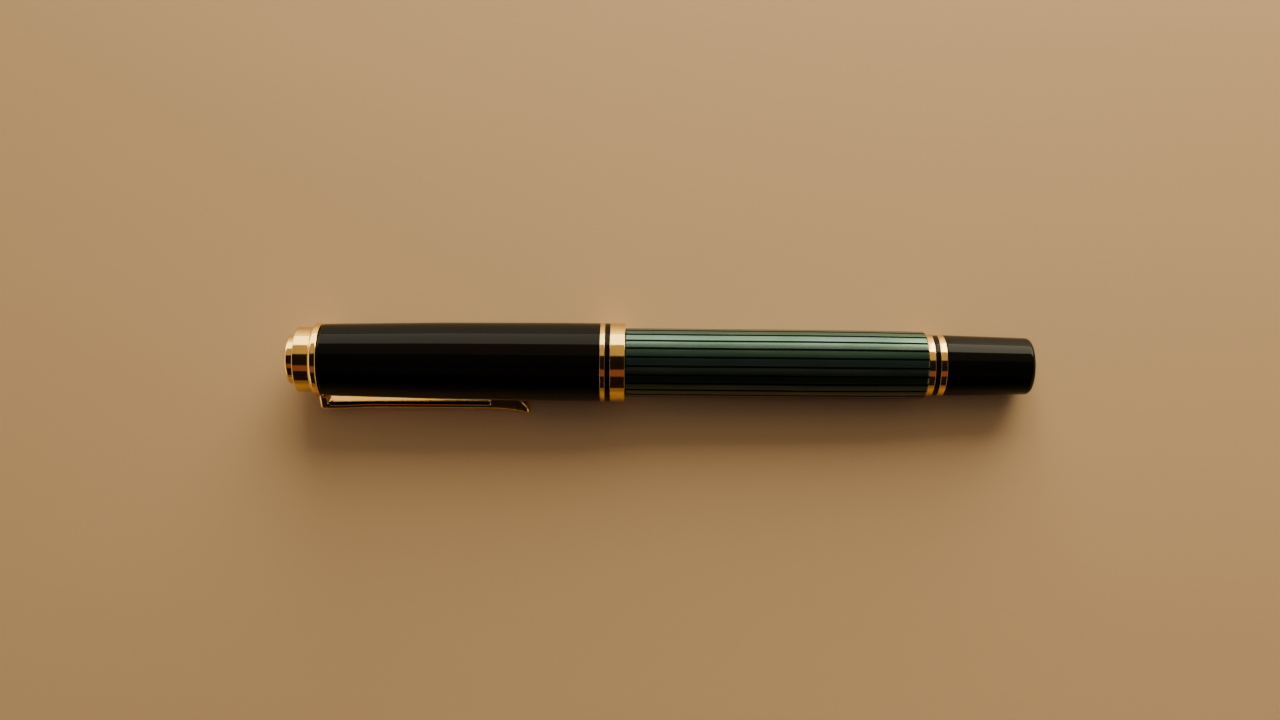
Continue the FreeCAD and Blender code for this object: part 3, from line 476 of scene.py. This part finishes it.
def make_crown():
    """The gold steps at the cap's end and the domed disc inside them."""
    front, back = span("crown")
    crown_r = radius("crown")
    bezel_front, foot_back = span("crown_bezel")
    bezel_r = radius("crown_bezel")
    foot_r, disc_r, head_r = 4.25, 3.8, 3.0
    head_back = foot_back + 0.8
    edge = 0.2
    crown = [
        (front, foot_r),
        (foot_back, foot_r),
        (foot_back, head_r),
        (head_back, head_r),
        (head_back, CAP_SCREW_R),
        (back, CAP_SCREW_R),
        (back, crown_r - edge),
        (back - edge, crown_r, edge),
        (front + edge, crown_r),
        (front, crown_r - edge, edge),
    ]
    lathe("crown_step", crown, "cap", "gold_plate", "crown")
    roll = 0.7
    lip = 0.15
    bezel = [
        (bezel_front + lip, disc_r),
        (foot_back, disc_r),
        (foot_back, foot_r),
        (front, foot_r),
        (front, bezel_r),
        (bezel_front + roll, bezel_r),
        (bezel_front, bezel_r - roll, roll),
        (bezel_front, disc_r + lip),
    ]
    lathe("crown_rim", bezel, "cap", "gold_plate", "crown_bezel")
    disc_front, disc_back = span("crown_disc")
    rise = 0.2
    disc = [
        (disc_back, 0),
        (disc_back, disc_r),
        (disc_front + rise, disc_r),
        (disc_front, 0, arc_radius(disc_r, rise)),
    ]
    lathe("crown_dome", disc, "cap", "black_resin", "crown_disc")


# ---------------------------------------------------------------- clip

CLIP_UP = math.radians(124.5)  # from +Z, about the pen's axis, to the middle of the clip
CLIP_SEAT_R = 7.15
CLIP_SEAT_GAP = 0.02
CLIP_ROOT_HALF = 1.95
CLIP_INNER_R = 9.2
CLIP_OUTER_R = 10.7
CLIP_BEND_X = -27.0
CLIP_TIP_X = -18.7
CLIP_END_EDGE = 0.6


def clip_point(x, across, out):
    """A point of the clip: across it and out from the pen's axis."""
    y = -out * math.sin(CLIP_UP) - across * math.cos(CLIP_UP)
    z = out * math.cos(CLIP_UP) - across * math.sin(CLIP_UP)
    return Vector((x, y, z)) * MM


def make_clip_ring():
    """The flared ring under the crown, with the flat seat that carries the clip."""
    front, back = span("clip_ring")
    rim_r, rim_edge, neck_r, flare = 7.05, 0.3, 6.35, 0.65
    outline = [
        (front, CAP_SCREW_R),
        (back, CAP_SCREW_R),
        (back, rim_r - rim_edge),
        (back - rim_edge, rim_r, rim_edge),
        (front + flare, rim_r),
        (front, neck_r, arc_radius(rim_r - neck_r, flare)),
    ]

    def add_seat(bm):
        foot, edge = 3.0, 0.5
        seat = [
            (-CLIP_ROOT_HALF, foot),
            (CLIP_ROOT_HALF, foot),
            (CLIP_ROOT_HALF, CLIP_SEAT_R - edge),
            (CLIP_ROOT_HALF - edge, CLIP_SEAT_R),
            (edge - CLIP_ROOT_HALF, CLIP_SEAT_R),
            (-CLIP_ROOT_HALF, CLIP_SEAT_R - edge),
        ]
        add_bar(bm, [[clip_point(x, *corner) for corner in seat] for x in (front, back)])

    lathe("clip_seat_ring", outline, "cap", "gold_plate", "clip_ring", add_seat)


def height_at(points, x):
    """The height of a chain of points, in order of x, at x."""
    for a, b in zip(points, points[1:]):
        if a.x <= x <= b.x and b.x > a.x:
            return a.y + (b.y - a.y) * (x - a.x) / (b.x - a.x)
    return points[-1].y if x > points[-1].x else points[0].y


def eased(stations, x):
    """A value that eases from station to station along x."""
    for (x0, v0), (x1, v1) in zip(stations, stations[1:]):
        if x0 <= x <= x1:
            t = (x - x0) / (x1 - x0)
            return v0 + (v1 - v0) * t * t * (3 - 2 * t)
    return stations[-1][1]


def rounded_section(half, inner, outer, camber, inner_edge, outer_edge):
    """Points (across, out) round a bar's cross-section with a cambered back and soft edges."""
    # The edges get smaller where the bar is thin or narrow.
    depth = outer - camber - inner
    inner_edge = min(inner_edge, depth * 0.45, half * 0.6)
    outer_edge = min(outer_edge, depth * 0.5, half * 0.6)
    side_top = outer - camber - outer_edge * 0.6
    flat_steps, inner_steps, outer_steps, back_steps = 8, 4, 6, 6
    right = [(half * i / flat_steps, inner) for i in range(flat_steps // 2 + 1)]
    for i in range(inner_steps + 1):
        a = math.pi / 2 * i / inner_steps
        across = half - inner_edge + inner_edge * math.sin(a)
        right.append((across, inner + inner_edge * (1 - math.cos(a))))
    start = Vector((half, side_top))
    knee = Vector((half, outer - camber))
    end = Vector((half - outer_edge, outer - camber * (1 - outer_edge / half) ** 2))
    for i in range(outer_steps + 1):
        t = i / outer_steps
        p = start * (1 - t) ** 2 + knee * 2 * t * (1 - t) + end * t * t
        right.append((p.x, p.y))
    for i in range(1, back_steps + 1):
        across = end.x * (1 - i / back_steps)
        right.append((across, outer - camber * (across / half) ** 2))
    left = [(-across, out) for across, out in right[1:-1]]
    return right + left[::-1]


def clip_inside(front):
    """The clip's underside from its root to its tip: seat, hollow under the arm, foot and nose."""
    seat_back = span("clip_ring")[1]
    seat = CLIP_SEAT_R + CLIP_SEAT_GAP
    hollow, foot_hollow, nose, tip_r = 1.0, 0.5, 5.5, 11.38
    foot_x, foot_back, foot_r, foot_edge = -26.2, -21.8, radius("cap_band"), 0.6
    return trace([
        (front, seat),
        (seat_back, seat),
        (seat_back + SHEER, CLIP_INNER_R - hollow),
        (seat_back + hollow, CLIP_INNER_R, hollow, HOLLOW),
        (foot_x - foot_hollow, CLIP_INNER_R),
        (foot_x, CLIP_INNER_R - foot_hollow, foot_hollow, HOLLOW),
        (foot_x + SHEER, foot_r + foot_edge),
        (foot_x + foot_edge, foot_r, foot_edge),
        (foot_back, foot_r),
        (CLIP_TIP_X, tip_r, nose),
    ])


def clip_back(front):
    """The clip's back from its root to its tip: shoulder, straight arm and outward bend."""
    shoulder, tip_r = 0.8, 12.0
    bend = arc_radius(CLIP_TIP_X - CLIP_BEND_X, tip_r - CLIP_OUTER_R)
    points = trace([
        (CLIP_TIP_X, tip_r),
        (CLIP_BEND_X, CLIP_OUTER_R, bend, HOLLOW),
        (front + shoulder, CLIP_OUTER_R),
        (front, CLIP_OUTER_R - shoulder, shoulder),
    ])
    return points[::-1]


def clip_places(front, lines):
    """The x of each cross-section: along the arm, at the lines' points and closer at both ends."""
    arm_steps, end_steps, digits = 160, 4, 3
    places = [p.x for p in lines]
    places += [front + (CLIP_TIP_X - front) * i / arm_steps for i in range(arm_steps + 1)]
    for i in range(1, end_steps + 1):
        ease = CLIP_END_EDGE * (1 - math.cos(math.pi / 2 * i / end_steps))
        places += [front + ease, CLIP_TIP_X - ease]
    return sorted({round(x, digits) for x in places})


def make_clip():
    """The clip arm, from its seat over the cap to its foot, with a plain flared tip."""
    front = span("clip")[0]
    inside, back = clip_inside(front), clip_back(front)
    # Half of the clip's width at places along it.
    halves = [
        (front, CLIP_ROOT_HALF),
        (front + 2.3, CLIP_ROOT_HALF),
        (front + 12.0, 1.4),
        (CLIP_BEND_X, 1.35),
        (CLIP_TIP_X, 1.1),
    ]
    thinnest, most_camber, camber_share = 0.1, 0.33, 0.4
    inner_edge, outer_edge = 0.6, 0.5
    rows = []
    for x in clip_places(front, inside + back):
        near_end = min(x - front, CLIP_TIP_X - x, CLIP_END_EDGE) / CLIP_END_EDGE
        inset = CLIP_END_EDGE * (1 - math.sqrt(1 - (1 - near_end) ** 2)) if near_end < 1 else 0
        inner, outer = height_at(inside, x) + inset, height_at(back, x) - inset
        if outer - inner < thinnest:
            middle = (outer + inner) / 2
            inner, outer = middle - thinnest / 2, middle + thinnest / 2
        half = eased(halves, x) - inset
        camber = min(most_camber, (outer - inner) * camber_share)
        section = rounded_section(half, inner, outer, camber, inner_edge, outer_edge)
        rows.append([clip_point(x, across, out) for across, out in section])
    bm = bmesh.new()
    add_bar(bm, rows)
    finish_mesh("clip_arm", bm, "clip", "gold_plate", "clip")


# ---------------------------------------------------------------- barrel

SLEEVE_END_R = 6.42
SLEEVE_SHOULDER = 0.45


def make_tube():
    """The ink window with the cap's thread in front of it, and the ink chamber inside the sleeve."""
    front, back = span("barrel_tube")
    crest_r = radius("barrel_tube")
    tube_r, bore_r, chamfer = 5.75, 4.6, 0.3
    window_x, window_r, window_edge = -5.3, 5.95, 0.1
    outline = [
        (front, bore_r),
        (back, bore_r),
        (back, tube_r),
        (0, tube_r),
        (0, window_r),
        (window_x + window_edge, window_r),
        (window_x, window_r - window_edge, window_edge),
        (window_x, tube_r),
        (front + chamfer, tube_r),
        (front, tube_r - chamfer),
    ]

    def add_cap_thread(bm):
        add_thread(
            bm,
            first_x=front + 0.8,
            turns=4.2 / THREAD_LEAD,
            base_r=tube_r - THREAD_SINK,
            crest_r=crest_r,
            base_width=0.9,
            crest_width=0.4,
        )

    lathe("ink_tube", outline, "barrel", "ink_window", "barrel_tube", add_cap_thread)


def make_section():
    """The waisted grip and the gold ring at its front."""
    ring_front, ring_back = span("section_ring")
    ring_r = radius("section_ring")
    tenon_back = span("section")[1]
    tube_x = span("barrel_tube")[0]
    rear_r = radius("section")
    bore_r, bore_back, hole_r, tenon_r, edge = 3.6, -15.2, 1.95, 4.58, 0.2
    waist_x, waist_r = ring_front + 2.4, 4.92
    rear_curve_r, front_curve_r = 60.0, 9.0
    outline = [
        (ring_back, bore_r),
        (bore_back, bore_r),
        (bore_back, hole_r),
        (tenon_back, hole_r),
        (tenon_back, tenon_r),
        (tube_x, tenon_r),
        (tube_x, rear_r - edge),
        (tube_x - edge, rear_r, edge),
        (waist_x, waist_r, rear_curve_r, HOLLOW),
        (ring_back, ring_r, front_curve_r, HOLLOW),
    ]
    lathe("grip_section", outline, "barrel", "black_resin", "section")
    ring_edge = 0.15
    ring = ring_outline(ring_front, ring_back, bore_r, ring_r, ring_edge)
    lathe("grip_ring", ring, "barrel", "gold_plate", "section_ring")


def make_sleeve():
    """The striped sleeve, straight at the front and narrowing in a long curve to the back."""
    front, back = span("barrel_sleeve")
    outer = radius("barrel_sleeve")
    end_r, shoulder = SLEEVE_END_R, SLEEVE_SHOULDER
    bore_r, straight, edge = 5.77, 36.0, 0.2
    flank = arc_radius(back - shoulder - straight, outer - end_r)
    outline = [
        (front, bore_r),
        (back, bore_r),
        (back, end_r - shoulder),
        (back - shoulder, end_r, shoulder),
        (straight, outer, flank),
        (front + edge, outer),
        (front, outer - edge, edge),
    ]
    lathe("striped_sleeve", outline, "barrel", "striped_resin", "barrel_sleeve")


def make_end_rings():
    seat_r = 4.9
    for node, name, slot, edge in (
        ("end_ring_front", "tail_ring_front", "gold_plate", 0.07),
        ("end_spacer", "tail_spacer", "black_resin", 0.05),
        ("end_ring_rear", "tail_ring_rear", "gold_plate", 0.07),
    ):
        outline = ring_outline(*span(node), seat_r, radius(node), edge)
        lathe(name, outline, "barrel", slot, node)


def make_knob():
    """The filler knob, bored for its spindle, with a rounded corner and a slightly domed end."""
    front, back = span("filler_knob")
    front_r = radius("filler_knob")
    bore_r, tail_r, tail_back, bore_back = 2.6, 3.1, 68.0, 73.4
    rear_r, corner, rise, edge = 5.43, 1.1, 0.22, 0.15
    dome_r = rear_r - corner
    shoulder = back - rise
    outline = [
        (front, tail_r),
        (tail_back, tail_r),
        (tail_back, bore_r),
        (bore_back, bore_r),
        (bore_back, 0),
        (back, 0),
        (shoulder, dome_r, arc_radius(dome_r, rise)),
        (shoulder - corner, rear_r, corner),
        (front + edge, front_r),
        (front, front_r - edge, edge),
    ]
    lathe("knob_shell", outline, "knob", "black_resin", "filler_knob")


# ---------------------------------------------------------------- stage


def make_desk():
    """The plain desk, which the pen touches with its cap band and the back end of its sleeve."""
    touch = Vector((span("cap_band")[1], -radius("cap_band")))
    back_touch = Vector((span("barrel_sleeve")[1] - SLEEVE_SHOULDER, -SLEEVE_END_R))
    slope = (back_touch.y - touch.y) / (back_touch.x - touch.x)
    gap = 0.01
    half = 3000.0
    bm = bmesh.new()
    corners = []
    for x, y in ((-half, -half), (half, -half), (half, half), (-half, half)):
        z = touch.y - gap + slope * (x - touch.x)
        corners.append(bm.verts.new(Vector((x, y, z)) * MM))
    bm.faces.new(corners)
    mesh = bpy.data.meshes.new("desk")
    bm.to_mesh(mesh)
    bm.free()
    mesh.materials.append(desk_surface())
    desk = bpy.data.objects.new("desk", mesh)
    bpy.context.scene.collection.objects.link(desk)


GLINT = "glint"
SOFT = "soft"
BOTH = "both"

BEHIND, BEFORE, LEFT, RIGHT = (0, 1), (0, -1), (-1, 0), (1, 0)
DAYLIGHT = (1.0, 0.91, 0.66)
WIDE = (-0.9, 0.9)
# The upright lights that the pen's polish mirrors, each with its name, its side of the pen, its distance,
# its lowest and highest elevation in degrees, its sideways reach, its radiance, its colour and its kind.
MIRRORED_PANELS = (
    ("window", BEHIND, 0.50, 0, 37.5, (-0.9, 0.165), 4.8, DAYLIGHT, GLINT),
    ("window_right", BEHIND, 0.50, 0, 37.5, (0.165, 0.9), 11.0, (1.0, 0.86, 0.58), GLINT),
    ("wall", BEHIND, 0.52, 39, 71, WIDE, 0.54, (1.0, 0.76, 0.46), BOTH),
    ("shelf", BEFORE, 0.50, 49, 69, WIDE, 0.20, (1.0, 0.36, 0.36), BOTH),
    ("bench", BEFORE, 0.52, 0, 10, WIDE, 0.22, (1.0, 0.58, 0.26), BOTH),
    ("left_wall", LEFT, 0.60, 0, 30, WIDE, 1.2, DAYLIGHT, GLINT),
    ("right_wall", RIGHT, 0.60, 0, 30, WIDE, 0.8, DAYLIGHT, GLINT),
)


def add_area_light(name, place, aim, size, power, colour, seen):
    """A soft light, seen as a GLINT in reflections, as SOFT light on surfaces, or as BOTH."""
    data = bpy.data.lights.new(name, "AREA")
    data.shape = "RECTANGLE"
    data.size, data.size_y = size
    data.energy = power
    data.color = colour
    light = bpy.data.objects.new(name, data)
    light.location = place
    light.rotation_euler = (Vector(aim) - Vector(place)).to_track_quat("-Z", "Y").to_euler()
    light.visible_glossy = seen != SOFT
    light.visible_diffuse = seen != GLINT
    bpy.context.scene.collection.objects.link(light)


def add_panel(name, side, distance, low, high, reach, radiance, colour, seen):
    """An upright light beside the pen, between two elevations in degrees and over a sideways reach."""
    bottom = distance * math.tan(math.radians(low))
    top = distance * math.tan(math.radians(high))
    first, last = reach
    size = (last - first, top - bottom)
    power = radiance * math.pi * size[0] * size[1]
    side = Vector((*side, 0))
    across = Vector((side.y, -side.x, 0)) * (first + last) / 2
    height = Vector((0, 0, (bottom + top) / 2))
    add_area_light(name, side * distance + across + height, across + height, size, power, colour, seen)


def make_lights():
    """Soft light from behind and above for the surfaces, and panels for the highlights."""
    add_panel("key", BEHIND, 0.45, 1, 48, (-0.14, 0.40), 7.6, (1.0, 0.91, 0.76), SOFT)
    add_area_light("room", (0, 0.35, 1.0), (0, 0, 0), (1.0, 1.0), 2.4, (1.0, 0.88, 0.74), SOFT)
    for panel in MIRRORED_PANELS:
        add_panel(*panel)
    world = bpy.data.worlds.new("room")
    world.use_nodes = True
    background = world.node_tree.nodes["Background"]
    background.inputs["Color"].default_value = (0.75, 0.58, 0.42, 1)
    background.inputs["Strength"].default_value = 0.015
    bpy.context.scene.world = world


def make_camera():
    """Straight above the pen, looking down."""
    data = bpy.data.cameras.new("camera")
    data.sensor_width = 36.0
    data.lens = 38.4
    data.clip_start = 0.01
    camera = bpy.data.objects.new("camera", data)
    camera.location = (0.0028, 0.0005, 0.262)
    camera.rotation_euler = (0, 0, math.radians(0.55))
    bpy.context.scene.collection.objects.link(camera)
    bpy.context.scene.camera = camera


dress_frame()
make_cap_shell()
make_cap_rings()
make_crown()
make_clip_ring()
make_clip()
make_tube()
make_section()
make_sleeve()
make_end_rings()
make_knob()
make_desk()
make_lights()
make_camera()
